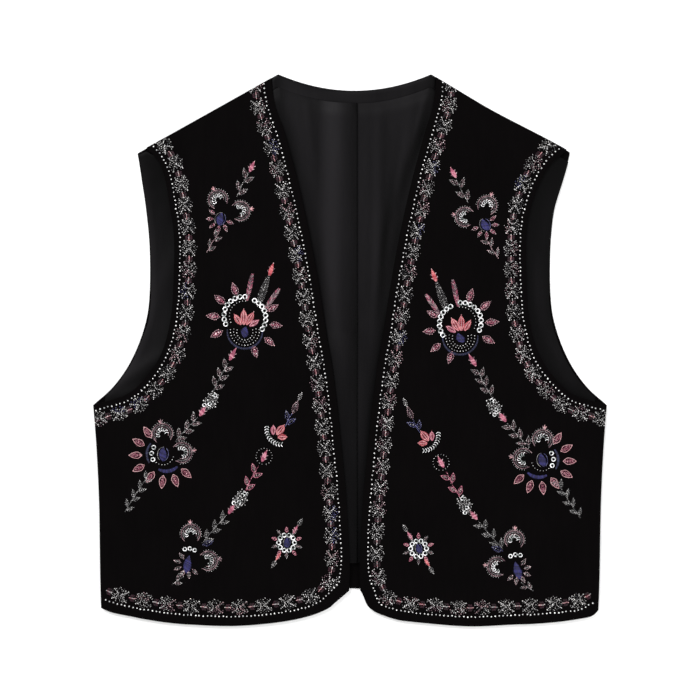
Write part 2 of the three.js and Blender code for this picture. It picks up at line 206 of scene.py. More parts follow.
class Finish:
    # a material and the nodes that make it
    def __init__(self, name, **fixed):
        self.material = bpy.data.materials.new(name)
        self.material.use_nodes = True
        self.tree = self.material.node_tree
        self.shader = self.tree.nodes["Principled BSDF"]
        for socket, value in fixed.items():
            self.shader.inputs[socket.replace("_", " ")].default_value = value

    def node(self, kind, settings=None, inputs=None, output=0):
        node = self.tree.nodes.new("ShaderNode" + kind)
        for key, value in (settings or {}).items():
            if key == "stops":
                ramp = node.color_ramp.elements
                while len(ramp) < len(value):
                    ramp.new(0.5)
                for element, (place, colour) in zip(ramp, value):
                    element.position = place
                    element.color = (*colour, 1)
            else:
                setattr(node, key, value)
        for key, value in (inputs or {}).items():
            if isinstance(value, Field):
                self.tree.links.new(value.socket, node.inputs[key])
            else:
                node.inputs[key].default_value = value
        return Field(self.tree, node.outputs[output])

    def feed(self, socket, field):
        self.tree.links.new(field.socket, self.shader.inputs[socket])

    def mix(self, factor, a, b):
        return self.node("Mix", {"data_type": "RGBA"}, {0: factor, 6: a, 7: b}, output=2)

    def noise(self, place, scale, detail):
        return self.node("TexNoise", None, {"Vector": place, "Scale": scale, "Detail": detail})

    def stretched(self, place, scale):
        return self.node("Mapping", None, {"Vector": place, "Scale": scale})

    def dimmed(self, colour, factor):
        return self.node("VectorMath", {"operation": "SCALE"}, {0: colour, "Scale": factor})

    def bump(self, height, strength, distance):
        lay = {"Strength": strength, "Distance": distance, "Height": height}
        self.feed("Normal", self.node("Bump", None, lay))


# ---- finishes ----

velvetLook = {
    "deep": (0.0005, 0.0003, 0.0004, 1),
    "lit": (0.0026, 0.0021, 0.0022, 1),
    "pileScale": 2600,
    "napScale": 22,
}


def velvetFinish():
    finish = Finish("blackVelvet", Roughness=0.85, Sheen_Weight=0.006, Sheen_Roughness=0.4,
                    Sheen_Tint=(0.55, 0.53, 0.57, 1), Specular_IOR_Level=0.02)
    place = finish.node("TexCoord", output=3)
    nap = finish.noise(place, velvetLook["napScale"], 5.0)
    brushed = finish.stretched(place, (240, 40, 240))
    streak = finish.noise(brushed, 1.0, 3.0)
    pile = finish.noise(place, velvetLook["pileScale"], 2.0)
    tone = nap * 0.6 + streak * 0.25 + pile * 0.3 - 0.1
    finish.feed("Base Color", finish.mix(tone, velvetLook["deep"], velvetLook["lit"]))
    finish.feed("Roughness", nap * 0.2 + 0.72)
    finish.bump(pile * 0.7 + streak * 0.3, 0.5, 0.0006)
    return finish.material


satinLook = {
    "shade": (0.0006, 0.0005, 0.0006, 1),
    "light": (0.0098, 0.0090, 0.0101, 1),
    # painted light: the lining's colour is made lighter where its surface turns left, towards the key light,
    # and darker where it turns right
    "lean": 2.8,               # how much lighter where it turns left
    "threadsPerMetre": 1400,
}


def satinFinish():
    finish = Finish("charcoalSatin", Roughness=0.42, Sheen_Weight=0.01, Sheen_Roughness=0.35,
                    Specular_IOR_Level=0.04, Anisotropic=0.35)
    grain = finish.node("UVMap", {"uv_map": "grain"})
    place = finish.node("TexCoord", output=3)
    # painted shade: long vertical streaks of lighter and darker colour, like the light and shade on soft
    # hanging folds
    hanging = finish.stretched(place, (44, 7, 44))
    soft = finish.noise(hanging, 1.0, 3.0)
    # painted light and shade from the slope: the object-space normal's X lightens the colour where the cloth
    # turns towards the key light on the left
    lean = finish.node("SeparateXYZ", None, {"Vector": finish.node("TexCoord", output=1)}, 0)
    slubs = finish.stretched(grain, (900, 60, 1))
    slub = finish.noise(slubs, 1.0, 2.0)
    twill = finish.node("TexWave", {"bands_direction": "DIAGONAL"},
                        {"Vector": grain, "Scale": satinLook["threadsPerMetre"] / 20, "Distortion": 0.3})
    # painted shade: a factor stored on each point of the lining and facing darkens the colour beside and under
    # the fronts and in the armholes
    openness = finish.node("Attribute", {"attribute_name": "openness"}, output=2)
    tone = (soft * 0.6 + slub * 0.15 + 0.1 - lean * satinLook["lean"]) * openness
    finish.feed("Base Color", finish.mix(tone, satinLook["shade"], satinLook["light"]))
    finish.feed("Roughness", slub * 0.16 + 0.34)
    finish.bump(twill * 0.6 + slub * 0.4, 0.12, 0.0002)
    return finish.material


def threadFinish():
    finish = Finish("silkThread", Roughness=0.4, Sheen_Weight=0.05, Specular_IOR_Level=0.28, Anisotropic=0.5)
    dye = finish.node("Attribute", {"attribute_name": "dye"})
    lay = finish.node("UVMap", {"uv_map": "lay"})
    place = finish.node("TexCoord", output=3)
    twist = finish.node("TexWave", {"bands_direction": "DIAGONAL"},
                        {"Vector": lay, "Scale": 0.62, "Distortion": 1.2, "Detail": 1.0})
    uneven = finish.noise(place, 700.0, 2.0)
    # painted shade of the twist: the colour is dimmed along the twist's grooves and lightened on its ridges, as
    # well as bumped
    finish.feed("Base Color", finish.dimmed(dye, 0.42 + twist * 0.5 + uneven * 0.35))
    finish.feed("Roughness", uneven * 0.25 + 0.25)
    finish.bump(twist, 0.55, 0.00025)
    return finish.material


def beadFinish():
    finish = Finish("silverSeedBead", Roughness=0.18, Metallic=0.45, Coat_Weight=0.5, Coat_Roughness=0.08)
    place = finish.node("TexCoord", output=3)
    each = finish.noise(place, 230.0, 1.0)
    glints = [(0.3, (0.26, 0.26, 0.27)), (0.5, (0.62, 0.61, 0.61)), (0.68, (0.95, 0.94, 0.92))]
    finish.feed("Base Color", finish.node("ValToRGB", {"stops": glints}, {"Fac": each}))
    return finish.material


def grainFinish():
    finish = Finish("dyedGlassGrain", Roughness=0.24, Metallic=0.3, Coat_Weight=0.4, Coat_Roughness=0.1)
    dye = finish.node("Attribute", {"attribute_name": "dye"})
    place = finish.node("TexCoord", output=3)
    each = finish.noise(place, 600.0, 1.0)
    # painted glints: the noise darkens some grains and lightens others well past their dye
    finish.feed("Base Color", finish.dimmed(dye, each * 3.2 - 0.6))
    return finish.material


def sequinFinish():
    finish = Finish("clearSequin", Roughness=0.14, Metallic=0.25, Coat_Weight=0.8, Coat_Roughness=0.05)
    place = finish.node("TexCoord", output=3)
    # painted highlights and reflections: the colour runs from near black to white across each sequin, standing
    # in for the light its cup catches
    sequinGlint = finish.noise(place, 420.0, 1.0)
    pale = [(0.34, (0.07, 0.08, 0.08)), (0.43, (0.34, 0.38, 0.36)), (0.5, (0.80, 0.80, 0.82)),
            (0.6, (0.97, 0.95, 0.96))]
    finish.feed("Base Color", finish.node("ValToRGB", {"stops": pale}, {"Fac": sequinGlint}))
    return finish.material


velvet = velvetFinish()
satin = satinFinish()
silk, beadGlass, clearFilm, grainGlass = threadFinish(), beadFinish(), sequinFinish(), grainFinish()
stitchFinishes = [silk, beadGlass, clearFilm, grainGlass]
print("finishes made")


# ---- cloth ----

def clothSheet(name, cells, place, thick, roll, finish):
    # a sheet laid by place(u, v), with its thickness and a soft rolled edge
    bm = bmesh.new()
    bmesh.ops.create_grid(bm, x_segments=cells[0], y_segments=cells[1], size=1)
    for vert in bm.verts:
        vert.co = place((vert.co.x + 1) / 2, (vert.co.y + 1) / 2)
    grain = bm.loops.layers.uv.new("grain")
    for face in bm.faces:
        face.smooth = True
        for loop in face.loops:
            loop[grain].uv = loop.vert.co.xy
    bmesh.ops.recalc_face_normals(bm, faces=bm.faces)
    if sum(face.normal.z for face in bm.faces) < 0:
        bmesh.ops.reverse_faces(bm, faces=bm.faces)
    ground = BVHTree.FromBMesh(bm)
    mesh = bpy.data.meshes.new(name)
    bm.to_mesh(mesh)
    bm.free()
    mesh.materials.append(finish)
    piece = bpy.data.objects.new(name, mesh)
    bpy.context.collection.objects.link(piece)
    wall = piece.modifiers.new("wall", "SOLIDIFY")
    wall.thickness = thick * mm
    wall.offset = 0
    edge = piece.modifiers.new("edge", "BEVEL")
    edge.width = roll * mm
    edge.segments = 3
    edge.limit_method = "ANGLE"
    edge.angle_limit = math.radians(50)
    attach(piece, "root")
    return piece, ground


def backSide(v):
    share = cut["bodyShare"]
    if v < share:
        return sideLine.at(v / share)
    return backYokeLine.at((v - share) / (1 - share))


def topRise(x):
    fromOpening = x - cut["openingX"]
    half, tip = cut["neckHalf"], cut["shoulder"]
    if abs(fromOpening) < half:
        return cut["neckUp"] - tip[1] - cut["neckDrop"] * (1 - (fromOpening / half) ** 2)
    run = tip[0] + cut["openingX"] if fromOpening < 0 else tip[0] - cut["openingX"]
    return (cut["neckUp"] - tip[1]) * (run - abs(fromOpening)) / (run - half)


def backPlan(across, v, sideCut=0, topCut=0):
    side = backSide(v)
    share = cut["bodyShare"]
    yoke = max(0, (v - share) / (1 - share))
    arch = (cut["backHemMiddle"] - cut["backHemSide"]) * (1 - across ** 2) * (1 - smooth(v, 0, share))
    rise = (topRise(across * cut["shoulder"][0]) - topCut) * yoke
    return Vector((across * (side.x - sideCut), side.y + arch + rise))


neckLeft = (cut["openingX"] - cut["neckHalf"]) / cut["shoulder"][0]
neckRight = (cut["openingX"] + cut["neckHalf"]) / cut["shoulder"][0]


def throughStops(u, stops):
    # spreads 0..1 over a few stretches, so that a column runs to each neck corner
    spot = u * (len(stops) - 1)
    k = min(int(spot), len(stops) - 2)
    return lerp(stops[k], stops[k + 1], spot - k)


def placeBack(u, v):
    plan = backPlan(throughStops(u, [-1, neckLeft, 0, neckRight, 1]), v)
    return toFrame(plan.x, plan.y, cut["backThick"] / 2)


back, _ = clothSheet("backPanel", (40, 60), placeBack, cut["backThick"], 0.7, velvet)
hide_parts("back")
print("back laid")

lining = {
    "thick": 0.8,
    "pleatX": 6.5,
    "pleatDepth": 11,
    "climb": 24,
    "layer": 1.4,
    "lowest": 0.085,
    "seamAllowance": 20,
    "underarmCut": 9,
    "armholeCut": 1.4,
    "shoulderCut": 9,
    "ease": 0.7,               # how far the loose cloth stands off the back
    # x, up, turn, length, width, height
    "folds": [
        (-46, 380, 97, 90, 7, -0.5), (-177, 302, 79, 110, 9, -1.0), (-176, 400, 92, 110, 14, -1.3),
        (199, 330, 90, 170, 10, -1.0), (176, 275, 105, 90, 9, -0.8), (-30, 440, 100, 50, 5, 0.5),
        (24, 300, 89, 170, 6, 0.8), (35, 360, 82, 80, 4, -0.5), (12, 250, 90, 150, 4, -0.5),
        (58, 430, 73, 60, 5, -0.9), (39, 340, 78, 60, 5, -0.8), (66, 470, 76, 26, 2.5, 0.7),
        (-178, 406, 112, 30, 5, 1.2), (-186, 418, 122, 24, 4, -0.9), (-171, 326, 76, 34, 6, 1.3),
        (-184, 330, 84, 60, 4, -0.7), (-190, 243, 38, 20, 6, 1.3), (-205, 226, 30, 14, 4, -0.7),
        (181, 305, 91, 50, 7, 1.0), (170, 322, 96, 34, 4, -0.9), (186, 400, 76, 34, 4, 0.7),
        (190, 246, 140, 24, 5, 0.9),
    ],
}


def pleatSection():
    # the three layers of the ease pleat, as (x, z) from left to right along the cloth
    step, outerX = lining["layer"], lining["pleatX"]
    innerX = outerX - lining["pleatDepth"]

    def turnCloth(x, z, way):
        angles = [math.radians(90 - 30 * k) for k in range(7)]
        return [(x + way * math.cos(a) * step / 2, z + math.sin(a) * step / 2) for a in angles]

    climbing = [(innerX - lining["climb"] * (1 - t), step * 2 * smooth(t, 0, 0.9))
                for t in (0, 0.15, 0.3, 0.45, 0.6, 0.75, 0.9)]
    leaving = [(innerX + 4, 0), (outerX - 3, 0), (outerX + 1.5, 0.1), (outerX + lining["climb"] / 2, 0)]
    return climbing + turnCloth(outerX - step / 2, step * 1.5, 1) + turnCloth(innerX, step / 2, -1) + leaving


section = pleatSection()
liningColumns = {"left": 40, "middle": len(section), "right": 40}


def placeLining(u, v):
    v = lerp(lining["lowest"], 1, v)
    bodyShare = cut["bodyShare"]
    sideCut = lerp(lining["seamAllowance"], lining["underarmCut"], smooth(v, bodyShare - 0.06, bodyShare))
    sideCut = lerp(sideCut, lining["armholeCut"], smooth(v, bodyShare, bodyShare + 0.045))
    half = backSide(v).x - sideCut
    column = round(u * (sum(liningColumns.values()) - 1))
    left, middle, right = liningColumns.values()
    inPleat = left <= column < left + middle
    if inPleat:
        across, lift = section[column - left]
    elif column < left:
        across, lift = throughStops(column / left, [-half, neckLeft * half, section[0][0]]), 0
    else:
        share = (column - left - middle + 1) / right
        across, lift = throughStops(share, [section[-1][0], neckRight * half, half]), 0
    topCut = lerp(cut["neckBand"] + 0.1, lining["shoulderCut"], smooth(abs(across), 84, 110))
    topCut = lerp(topCut, lining["armholeCut"], smooth(-across, 188, 194))
    plan = backPlan(across / half, v, sideCut, topCut)
    plan.x = across
    fade = smooth(half - abs(across), 0, 16) * smooth(1 - v, 0, 0.03)
    ease = lining["ease"] * (1 + smooth(half - abs(across), 6, 34))
    lift += fade * ease * smooth(v, bodyShare - 0.1, bodyShare + 0.1)
    if not inPleat:
        fade *= smooth(max(section[0][0] - across, across - section[-1][0]), 0, 15)
        lift = max(-0.25, lift + foldLift(lining["folds"], across, plan.y) * fade)
    return toFrame(plan.x, plan.y, cut["liningMiddle"] + lift)


liningCells = (sum(liningColumns.values()) - 1, 96)
backLining, _ = clothSheet("backLining", liningCells, placeLining, lining["thick"], 0.14, satin)
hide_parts("back_lining")
print("lining laid")


def placeFacing(u, v):
    across = lerp(neckLeft - 0.027, neckRight + 0.018, u)
    plan = backPlan(across, 1)
    edge = 0.35 * smooth(v, 0.8, 1)
    return toFrame(plan.x, plan.y - lerp(cut["neckBand"], 1, v), cut["liningMiddle"] + 0.1 - edge)


neckFacing, _ = clothSheet("neckFacing", (60, 8), placeFacing, 0.9, 0.14, satin)
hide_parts("neck_facing")
print("facing laid")

front = {
    "seat": 1.9,
    "rise": 2.4,
    "ease": 14,
    "edgeRise": 1.9,
    "tipRise": 0.9,
    "edgeReach": 60,
    "edgeStart": 60,
    "hemHeight": 3.4,
    "hemReach": 32,
    "tipIn": {-1: 10, 1: 4},         # how far the shoulder seam is drawn in at the armhole
    "neckIn": {-1: 7, 1: 5},         # and at the neck
    "cornerIn": {-1: 1.6, 1: -4.0},  # how far the lower front corner is drawn in
    # x outwards, up, turn, length, width, height; the same on both fronts
    "folds": [(217, 165, 62, 30, 13, -0.9), (200, 120, 80, 60, 20, 0.5), (150, 400, 98, 60, 15, 0.8),
              (120, 440, 120, 45, 16, -0.7), (70, 150, 95, 80, 20, 0.9)],
    # finer creases of each front as it lies
    "creases": {
        -1: [(214, 160, 118, 20, 3.5, -0.9), (226, 120, 92, 60, 3, -0.5), (226, 60, 90, 40, 3, -0.45),
             (150, 455, 40, 26, 5, 0.5), (60, 430, 80, 50, 5, -0.4), (196, 205, 10, 22, 5, -0.6)],
        1: [(146, 400, 96, 48, 4.5, -0.7), (132, 395, 92, 55, 5, 0.6), (226, 130, 88, 70, 3, -0.5),
            (226, 55, 90, 35, 3, -0.45), (205, 190, 150, 26, 5, -0.7), (90, 455, 70, 30, 5, 0.4)],
    },
}


def frontPlan(hand, u, v):
    share = cut["bodyShare"]
    inBody = v < share
    t = v / share if inBody else (v - share) / (1 - share)
    side = (sideLine if inBody else yokeSideLine).at(t)
    edge = (edgeLine if inBody else yokeEdgeLine).at(t)
    shift = hand * cut["openingX"]
    if not inBody:
        seam = (Vector((cut["neckHalf"] + shift, cut["neckUp"])) - Vector(cut["shoulder"])).normalized()
        side = side + seam * front["tipIn"][hand] * smooth(t, 0.72, 1)
        edge = edge - seam * front["neckIn"][hand] * smooth(t, 0.8, 1)
    plan = Vector((lerp(side.x, edge.x + shift, u), lerp(side.y, edge.y, u)))
    pull = (1 - smooth(v, 0, share * 0.7)) ** 2
    if pull > 0:
        hem = hemLines[hand].along(u)
        corner = front["cornerIn"][hand] * smooth(u, 0.82, 0.93) * (1 - smooth(u, 0.93, 1))
        hem = hem + Vector((0.7, 0.75)) * corner
        chord = body[0]
        plan.x += (hem.x + shift * u - lerp(chord[0], chord[2] + shift, u)) * pull
        plan.y += (hem.y - lerp(chord[1], chord[3], u)) * pull
    return plan


def toSegment(point, a, b):
    run = b - a
    t = min(1, max(0, (point - a).dot(run) / run.length_squared))
    return (point - a - run * t).length


def placeFront(hand):
    hemCorner, underarm = Vector(body[0][:2]), Vector(body[-1][:2])
    tip, ownTip = Vector(cut["shoulder"]), frontPlan(hand, 0, 1)
    apex = Vector((cut["neckHalf"] + hand * cut["openingX"], cut["neckUp"]))

    def place(u, v):
        plan = frontPlan(hand, u, v)
        toSeam = min(toSegment(plan, hemCorner, underarm), toSegment(plan, tip, apex))
        toEdge = (plan - frontPlan(hand, 1, v)).length
        toHem = (plan - frontPlan(hand, u, 0)).length
        above = front["rise"] * (1 - math.exp(-toSeam / front["ease"]))
        nearEdge = math.exp(-((toEdge / front["edgeReach"]) ** 2))
        above += front["tipRise"] * math.exp(-((plan - ownTip).length / front["ease"]) ** 2)
        above += front["edgeRise"] * nearEdge * smooth(toSeam, 0, front["edgeStart"])
        above += foldLift(front["folds"], plan.x, plan.y) * smooth(toSeam, 5, 40)
        above += foldLift(front["creases"][hand], plan.x, plan.y) * smooth(min(toSeam, toEdge, toHem), 2, 9)
        low = min(above, front["hemHeight"] - front["seat"])
        z = front["seat"] + lerp(low, above, smooth(toHem, 0, front["hemReach"]))
        return toFrame(hand * plan.x, plan.y, z + cut["frontThick"] / 2)
    return place


grounds = {}
for side, hand in (("Right", -1), ("Left", 1)):
    name = "front" + side
    panel, grounds[hand] = clothSheet(name, (80, 150), placeFront(hand), cut["frontThick"], 1.05, velvet)
    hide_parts("front_" + side.lower())
print("fronts laid")


# ---- painted shade: the lining is darkened beside and under the fronts and in the armholes ----

shadePainting = {
    # painted shade beside the fronts: reach in mm and least brightness factor at the front edges, then at the
    # armhole edges
    "edge": (15, 0.3),
    "armhole": (20, 0.2),
    # painted shade at the head of each armhole: how far down it reaches and its least brightness factor
    "head": (105, 0.1),
    # painted shade on the lining shown in each armhole: the one at positive x is darker, away from the key
    # light
    "side": {-1: 0.95, 1: 0.8},
    "armholesFrom": 125,
}


def paintShadeOnLining(piece):
    trees = []
    for u in (1, 0):
        tree = KDTree(2 * 121)
        for hand in (-1, 1):
            for k in range(121):
                plan = frontPlan(hand, u, k / 120)
                tree.insert(toFrame(hand * plan.x, plan.y), 0)
        tree.balance()
        trees.append(tree)
    top = toFrame(*cut["shoulder"]).y
    openness = piece.data.attributes.new("openness", "FLOAT", "POINT")
    for vert in piece.data.vertices:
        flat = Vector((vert.co.x, vert.co.y, 0))
        inArmhole = abs(flat.x) > shadePainting["armholesFrom"] * mm
        reach, least = shadePainting["armhole" if inArmhole else "edge"]
        # painted shade: the colour is darkened near the fronts' raised edges, which shade the lining, and
        # darker still at the head of each armhole and on the armhole away from the key light
        share = lerp(least, 1, smooth(trees[inArmhole].find(flat)[2], 0, reach * mm))
        if inArmhole:
            deep, least = shadePainting["head"]
            share *= lerp(least, 1, smooth(top - flat.y, 0, deep * mm))
            share *= shadePainting["side"][1 if flat.x > 0 else -1]
        openness.data[vert.index].value = share


for piece in (backLining, neckFacing):
    paintShadeOnLining(piece)
print("lining shaded")


# ---- stitches, beads and sequins ----

# shades of each thread, linear
threads = {
    "silver": [(0.21, 0.20, 0.20), (0.08, 0.078, 0.08), (0.40, 0.385, 0.38), (0.13, 0.125, 0.13)],
    "bright": [(0.72, 0.70, 0.69), (0.42, 0.41, 0.41), (0.58, 0.56, 0.56)],
    "steel": [(0.09, 0.09, 0.095), (0.045, 0.043, 0.048)],
    "rose": [(0.33, 0.21, 0.23), (0.16, 0.09, 0.11), (0.50, 0.35, 0.37)],
    "pink": [(0.45, 0.12, 0.19), (0.28, 0.06, 0.11), (0.59, 0.24, 0.31)],
    "blush": [(0.72, 0.42, 0.44), (0.58, 0.28, 0.31)],
    "coral": [(0.56, 0.105, 0.125), (0.70, 0.23, 0.235), (0.36, 0.045, 0.06)],
    "mauve": [(0.20, 0.115, 0.145), (0.12, 0.06, 0.08), (0.31, 0.205, 0.235)],
    "wine": [(0.20, 0.02, 0.035), (0.28, 0.035, 0.05)],
    "plum": [(0.055, 0.006, 0.017), (0.085, 0.012, 0.026), (0.03, 0.004, 0.010)],
    "blue": [(0.017, 0.015, 0.085), (0.027, 0.024, 0.128), (0.010, 0.008, 0.05)],
    "navy": [(0.012, 0.013, 0.046), (0.022, 0.026, 0.07), (0.007, 0.007, 0.026)],
    "garnet": [(0.016, 0.001, 0.006), (0.030, 0.002, 0.011), (0.010, 0.001, 0.004)],
    "sky": [(0.09, 0.09, 0.21), (0.16, 0.16, 0.29), (0.045, 0.045, 0.14)],
}
beadRadius = 0.77
stitchLift = 0.2               # of a stitch's middle above the cloth
sequinSize = {"outer": 2.3, "hole": 1.3, "rimHole": 1.4, "cover": 0.55, "cup": 0.75, "thick": 0.16}


def template(name, build, finish, dye=(0.8, 0.8, 0.8)):
    bm = bmesh.new()
    build(bm)
    tint = bm.verts.layers.float_color.new("dye")
    lay = bm.loops.layers.uv.new("lay")
    for vert in bm.verts:
        vert[tint] = (*dye, 1)
    for face in bm.faces:
        face.smooth = True
        face.material_index = stitchFinishes.index(finish)
        for loop in face.loops:
            loop[lay].uv = (loop.vert.co.x * 2, loop.vert.co.y * 0.8)
    mesh = bpy.data.meshes.new(name)
    bm.to_mesh(mesh)
    bm.free()
    return mesh


def buildStitch(bm):
    # half a millimetre each way; its poles lie at the two ends
    bmesh.ops.create_uvsphere(bm, u_segments=5, v_segments=4, radius=0.5,
                              matrix=Matrix.Rotation(math.radians(90), 4, "Y"))


def buildBead(bm):
    bmesh.ops.create_uvsphere(bm, u_segments=8, v_segments=6, radius=1)
    bmesh.ops.scale(bm, vec=(1, 1, 0.86), verts=bm.verts)


def buildGrain(bm):
    bmesh.ops.create_uvsphere(bm, u_segments=5, v_segments=4, radius=1)


def cupSequin(bm, segments, hole):
    bmesh.ops.create_cone(bm, cap_ends=False, segments=segments, radius1=hole, radius2=sequinSize["outer"],
                          depth=sequinSize["cup"])


def thickenSequin(bm):
    bmesh.ops.solidify(bm, geom=bm.faces[:], thickness=sequinSize["thick"])
    bmesh.ops.recalc_face_normals(bm, faces=bm.faces)


def buildSequin(bm):
    cupSequin(bm, 12, sequinSize["hole"])
    thickenSequin(bm)


def buildRim(bm):
    # what shows of a sequin that the next one overlaps
    cupSequin(bm, 16, sequinSize["rimHole"])
    everything = bm.verts[:] + bm.edges[:] + bm.faces[:]
    bmesh.ops.bisect_plane(bm, geom=everything, plane_co=(sequinSize["cover"], 0, 0), plane_no=(-1, 0, 0),
                           clear_outer=True)
    thickenSequin(bm)


beadShape = template("beadShape", buildBead, beadGlass)
sequinShape = template("sequinShape", buildSequin, clearFilm)
rimShape = template("rimShape", buildRim, clearFilm)
grainShapes = {family: [template(family + "Grain", buildGrain, grainGlass, shade) for shade in shades]
               for family, shades in threads.items()}
stitchShapes = {family: [template(family + "Stitch", buildStitch, silk, shade) for shade in shades]
                for family, shades in threads.items()}

# how the sprays of each front lie off the pattern, outwards and up
sprayShift = {-1: (0, 0), 1: (-4, -5.6)}
paleRims = ("silver", "bright", "rose", "sky")


def lieOf(base, tip):
    # from a base to a tip: the whole run, its direction and the direction across it
    run = tip - base
    way = run.normalized()
    return run, way, Vector((-way.y, way.x))


class Needlework:
    # one piece of embroidery on one front, with its places in millimetres
    def __init__(self, name, hand, node):
        self.name, self.hand, self.node = name, hand, node
        self.bm = bmesh.new()
        self.bm.verts.layers.float_color.new("dye")
        self.bm.loops.layers.uv.new("lay")
        self.chance = random.Random(name)

    def polar(self, centre, facing, reach):
        # a place from a centre (outwards, up) at an angle that turns the same way on both fronts
        angle = math.radians(facing)
        shiftOut, shiftUp = sprayShift[self.hand]
        out, up = centre[0] + reach * math.cos(angle) + shiftOut, centre[1] + reach * math.sin(angle) + shiftUp
        return Vector((cut["openingX"] + self.hand * out, up))

    def ground(self, spot):
        # the height of the cloth there, or None past its edge
        hit = grounds[self.hand].ray_cast(toFrame(spot.x, spot.y, 100), Vector((0, 0, -1)))[0]
        return None if hit is None else hit.z / mm + cut["frontThick"] / 2

    def put(self, shape, move):
        shape.transform(move)
        self.bm.from_mesh(shape)
        shape.transform(move.inverted())

    def stitch(self, a, b, width, family, height=0.75):
        # one straight stitch, rounded and pointed at its ends
        run = b - a
        long = max(run.length, 0.3)
        way = run.normalized() if run.length > 0 else Vector((1, 0))
        low, high = self.ground(a), self.ground(b)
        if low is None or high is None:
            return
        centre = toFrame((a.x + b.x) / 2, (a.y + b.y) / 2, (low + high) / 2 + stitchLift)
        along = Vector((way.x * long, way.y * long, high - low))
        across = Vector((-way.y, way.x, 0)) * width
        move = Matrix((along * mm, across * mm, Vector((0, 0, height * mm)))).transposed().to_4x4()
        self.put(self.chance.choice(stitchShapes[family]), Matrix.Translation(centre) @ move)

    def rope(self, line, family, width=0.85, pitch=1.35, slant=0.28):
        # short stitches laid slantwise one after the other
        count = max(1, round(line.length / pitch))
        for k in range(count):
            share = (k + 0.5) / count
            spot, run = line.along(share), line.heading(share)
            side = Vector((-run.y, run.x)) * slant * width
            half = run * pitch * self.chance.uniform(0.55, 0.8)
            self.stitch(spot - half - side, spot + half + side, width * self.chance.uniform(0.75, 1.1), family)

    def bead(self, spot, size=1.0):
        radius, low = beadRadius * size, self.ground(spot)
        if low is None:
            return
        turn = Matrix.Rotation(self.chance.uniform(0, math.pi), 4, "Z")
        centre = toFrame(spot.x, spot.y, low + radius * 0.75)
        self.put(beadShape, Matrix.Translation(centre) @ turn @ Matrix.Scale(radius * mm, 4))

    def grains(self, line, family, size=0.6, pitch=1.6):
        # a row of very small dyed beads
        count = max(1, round(line.length / pitch))
        for k in range(count + 1):
            jog = Vector((self.chance.uniform(-0.15, 0.15), self.chance.uniform(-0.15, 0.15)))
            spot = line.along(k / count) + jog
            radius, low = size * self.chance.uniform(0.7, 1.2), self.ground(spot)
            if low is None:
                continue
            centre = toFrame(spot.x, spot.y, low + radius * 0.7)
            shape = self.chance.choice(grainShapes[family])
            self.put(shape, Matrix.Translation(centre) @ Matrix.Scale(radius * mm, 4))

    def sequin(self, spot, size=1.0):
        axis = Vector((self.chance.uniform(-1, 1), self.chance.uniform(-1, 1), 0.01))
        lean = Matrix.Rotation(self.chance.uniform(0.08, 0.3), 4, axis)
        centre = toFrame(spot.x, spot.y, (self.ground(spot) or 0) + 0.75)
        self.put(sequinShape, Matrix.Translation(centre) @ lean @ Matrix.Scale(size * mm, 4))

    def string(self, line, size):
        # sequins that overlap along a line
        count = max(1, round(line.length / (2.35 * size)))
        for k in range(count + 1):
            spot, run = line.along(k / count), line.heading(k / count)
            turn = Matrix.Rotation(math.atan2(run.y, run.x), 4, "Z") @ Matrix.Rotation(-0.22, 4, "Y")
            centre = toFrame(spot.x, spot.y, (self.ground(spot) or 0) + 0.8)
            self.put(rimShape, Matrix.Translation(centre) @ turn @ Matrix.Scale(size * mm, 4))

    def finish(self):
        mesh = bpy.data.meshes.new(self.name)
        self.bm.to_mesh(mesh)
        self.bm.free()
        for finish in stitchFinishes:
            mesh.materials.append(finish)
        piece = bpy.data.objects.new(self.name, mesh)
        bpy.context.collection.objects.link(piece)
        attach(piece, "root")
        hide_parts(self.node)
        print(self.name, sum(len(face.vertices) - 2 for face in mesh.polygons), "triangles")
        return piece

    # -- forms made of stitches, from a base to a tip --

    def satin(self, base, tip, wide, family, pitch=0.85):
        # stitches laid side by side across a pointed form
        run, way, side = lieOf(base, tip)
        count = max(3, round(run.length / pitch))
        for k in range(count):
            t = (k + 0.5) / count
            reach = side * wide / 2 * math.sin(math.pi * t ** 0.8) ** 0.7 * self.chance.uniform(0.92, 1.04)
            slant = way * wide * 0.12
            spot = base + run * t
            self.stitch(spot - reach - slant, spot + reach + slant, pitch * 1.35, family, 0.9)

    def fan(self, base, tip, wide, family):
        # long stitches side by side from the base of a petal to its tip, with a few pale ones
        run, _, side = lieOf(base, tip)
        count = max(4, round(wide / 0.85))
        for k in range(count + 1):
            s = k / count * 2 - 1
            bow = side * s * wide * 0.43
            end = tip - run * abs(s) * 0.10 + bow * 0.06
            line = Line([base + bow * 0.25, base + run * 0.38 + bow, base + run * 0.68 + bow * 0.78, end])
            self.rope(line, ("wine", "blush", family)[k % 3] if 0 < k < count else family, 0.75, 2.0, 0.1)

    def leaf(self, base, tip, wide, rim, fill):
        # an outline with slanting veins in it and dark cloth between
        run, way, side = lieOf(base, tip)
        for s in (-1, 1):
            bow = side * s * wide * 0.5
            line = Line([base, base + run * 0.32 + bow, base + run * 0.7 + bow * 0.75, tip])
            if rim in paleRims:
                self.grains(line, rim, 0.5, 1.6)
            else:
                self.rope(line, rim, 0.68, 1.25)
        heart = "bright" if rim in paleRims else "blush"
        self.grains(Line([base + run * 0.15, tip - run * 0.1]), heart, 0.42, 2.3)
        count = max(2, round(run.length / 2.1))
        for k in range(count):
            t = (k + 0.3) / count
            reach = wide * 0.36 * math.sin(math.pi * (0.15 + 0.75 * t))
            spot = base + run * (0.1 + 0.7 * t)
            for s in (-1, 1):
                vein = Line([spot, spot + way * reach * 0.9 + side * s * reach])
                if rim in paleRims:
                    self.grains(vein, fill, 0.42, 1.5)
                else:
                    self.stitch(*vein.points, 0.6, fill)

    def petal(self, base, tip, wide, rim, fill):
